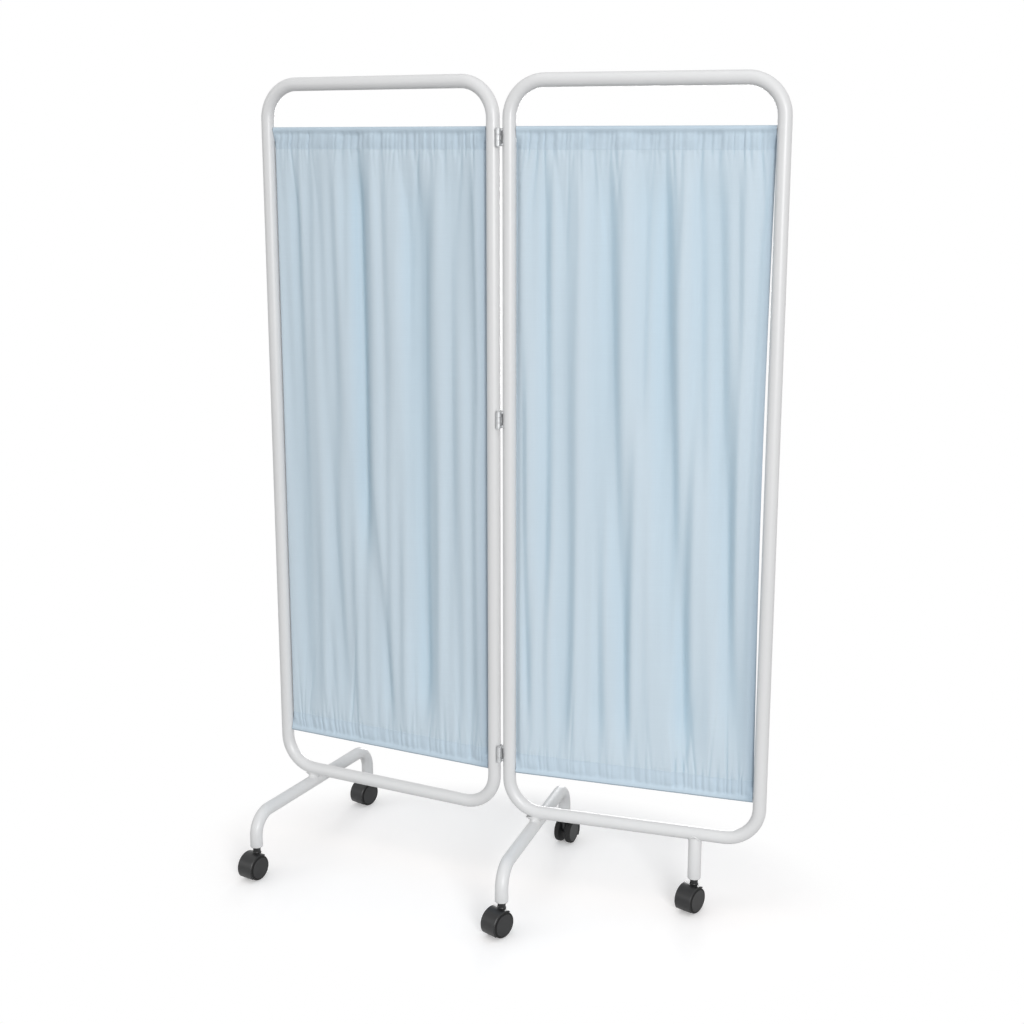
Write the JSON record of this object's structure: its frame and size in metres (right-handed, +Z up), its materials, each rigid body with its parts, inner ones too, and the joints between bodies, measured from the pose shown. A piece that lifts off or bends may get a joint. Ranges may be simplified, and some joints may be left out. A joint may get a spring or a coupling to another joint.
{
  "type": "folding ward screen",
  "caption": "Folding ward screen: tube frames hinged together, gathered curtains on rods, bent leg bows and twin-wheel casters.",
  "frame": {"origin": "on the floor, under the middle of the box of the whole screen", "axes": "+Z up; +X along the right panel towards its free upright; +Y away from the side that the panels fold towards"},
  "size_m": [1.0244, 0.538, 1.5413],
  "materials": {
    "painted_tube": "off-white satin powder coat",
    "curtain_cloth": "pale blue plain-weave polyester cotton, matt",
    "bare_steel": "bare zinc-plated steel, dull",
    "plated_rod": "bright zinc-plated steel",
    "caster_black": "black moulded nylon, satin",
    "caster_wheel": "black moulded nylon, matt tread"
  },
  "bodies": {
    "right_panel": {"right_frame": "painted_tube", "right_leg_bow": "painted_tube", "right_weld_saddle": "painted_tube", "stub_leg": "painted_tube", "right_upper_rod": "plated_rod", "right_lower_rod": "plated_rod", "right_curtain": "curtain_cloth", "right_hinge_leaf_top": "bare_steel", "right_hinge_leaf_middle": "bare_steel", "right_hinge_leaf_bottom": "bare_steel", "hinge_pin_top": "bare_steel", "hinge_pin_middle": "bare_steel", "hinge_pin_bottom": "bare_steel", "right_front_caster_socket": "caster_black", "right_back_caster_socket": "caster_black", "stub_caster_socket": "caster_black"},
    "left_panel": {"left_frame": "painted_tube", "left_leg_bow": "painted_tube", "left_weld_saddle": "painted_tube", "left_upper_rod": "plated_rod", "left_lower_rod": "plated_rod", "left_curtain": "curtain_cloth", "left_hinge_leaf_top": "bare_steel", "left_hinge_leaf_middle": "bare_steel", "left_hinge_leaf_bottom": "bare_steel", "left_front_caster_socket": "caster_black", "left_back_caster_socket": "caster_black"},
    "left_front_swivel": {"left_front_stem": "plated_rod", "left_front_hood": "caster_black", "left_front_axle": "plated_rod"},
    "left_front_wheel_a": {"left_front_wheel_a": "caster_wheel"},
    "left_front_wheel_b": {"left_front_wheel_b": "caster_wheel"},
    "left_back_swivel": {"left_back_stem": "plated_rod", "left_back_hood": "caster_black", "left_back_axle": "plated_rod"},
    "left_back_wheel_a": {"left_back_wheel_a": "caster_wheel"},
    "left_back_wheel_b": {"left_back_wheel_b": "caster_wheel"},
    "right_front_swivel": {"right_front_stem": "plated_rod", "right_front_hood": "caster_black", "right_front_axle": "plated_rod"},
    "right_front_wheel_a": {"right_front_wheel_a": "caster_wheel"},
    "right_front_wheel_b": {"right_front_wheel_b": "caster_wheel"},
    "right_back_swivel": {"right_back_stem": "plated_rod", "right_back_hood": "caster_black", "right_back_axle": "plated_rod"},
    "right_back_wheel_a": {"right_back_wheel_a": "caster_wheel"},
    "right_back_wheel_b": {"right_back_wheel_b": "caster_wheel"},
    "stub_swivel": {"stub_stem": "plated_rod", "stub_hood": "caster_black", "stub_axle": "plated_rod"},
    "stub_wheel_a": {"stub_wheel_a": "caster_wheel"},
    "stub_wheel_b": {"stub_wheel_b": "caster_wheel"}
  },
  "joints": [
    {"name": "panel_fold", "type": "hinge", "parent": "right_panel", "child": "left_panel", "pos_m": [-0.00405, -0.03566, 0.8415], "axis": [0, 0, 1], "range_deg": [-5, 189]},
    {"name": "left_front_swivel", "type": "hinge", "parent": "left_panel", "child": "left_front_swivel", "pos_m": [-0.47055, -0.15556, 0.064], "axis": [0, 0, 1], "continuous": true},
    {"name": "left_front_roll_a", "type": "hinge", "parent": "left_front_swivel", "child": "left_front_wheel_a", "pos_m": [-0.46171, -0.16872, 0.025], "axis": [-0.9563, 0.2924, 0], "continuous": true},
    {"name": "left_front_roll_b", "type": "hinge", "parent": "left_front_swivel", "child": "left_front_wheel_b", "pos_m": [-0.48524, -0.16153, 0.025], "axis": [-0.9563, 0.2924, 0], "continuous": true},
    {"name": "left_back_swivel", "type": "hinge", "parent": "left_panel", "child": "left_back_swivel", "pos_m": [-0.40641, 0.24939, 0.064], "axis": [0, 0, 1], "continuous": true},
    {"name": "left_back_roll_a", "type": "hinge", "parent": "left_back_swivel", "child": "left_back_wheel_a", "pos_m": [-0.39875, 0.23551, 0.025], "axis": [-0.9272, 0.3746, 0], "continuous": true},
    {"name": "left_back_roll_b", "type": "hinge", "parent": "left_back_swivel", "child": "left_back_wheel_b", "pos_m": [-0.42156, 0.24473, 0.025], "axis": [-0.9272, 0.3746, 0], "continuous": true},
    {"name": "right_front_swivel", "type": "hinge", "parent": "right_panel", "child": "right_front_swivel", "pos_m": [0.06495, -0.22706, 0.064], "axis": [0, 0, 1], "continuous": true},
    {"name": "right_front_roll_a", "type": "hinge", "parent": "right_front_swivel", "child": "right_front_wheel_a", "pos_m": [0.07137, -0.24156, 0.025], "axis": [-0.891, 0.454, 0], "continuous": true},
    {"name": "right_front_roll_b", "type": "hinge", "parent": "right_front_swivel", "child": "right_front_wheel_b", "pos_m": [0.04945, -0.23039, 0.025], "axis": [-0.891, 0.454, 0], "continuous": true},
    {"name": "right_back_swivel", "type": "hinge", "parent": "right_panel", "child": "right_back_swivel", "pos_m": [0.06495, 0.18294, 0.064], "axis": [0, 0, 1], "continuous": true},
    {"name": "right_back_roll_a", "type": "hinge", "parent": "right_back_swivel", "child": "right_back_wheel_a", "pos_m": [0.05478, 0.1951, 0.025], "axis": [0.9816, -0.1908, 0], "continuous": true},
    {"name": "right_back_roll_b", "type": "hinge", "parent": "right_back_swivel", "child": "right_back_wheel_b", "pos_m": [0.07893, 0.19041, 0.025], "axis": [0.9816, -0.1908, 0], "continuous": true},
    {"name": "stub_swivel", "type": "hinge", "parent": "right_panel", "child": "stub_swivel", "pos_m": [0.38095, -0.02206, 0.064], "axis": [0, 0, 1], "continuous": true},
    {"name": "stub_roll_a", "type": "hinge", "parent": "stub_swivel", "child": "stub_wheel_a", "pos_m": [0.38812, -0.0362, 0.025], "axis": [-0.9135, 0.4067, 0], "continuous": true},
    {"name": "stub_roll_b", "type": "hinge", "parent": "stub_swivel", "child": "stub_wheel_b", "pos_m": [0.36564, -0.02619, 0.025], "axis": [-0.9135, 0.4067, 0], "continuous": true}
  ]
}
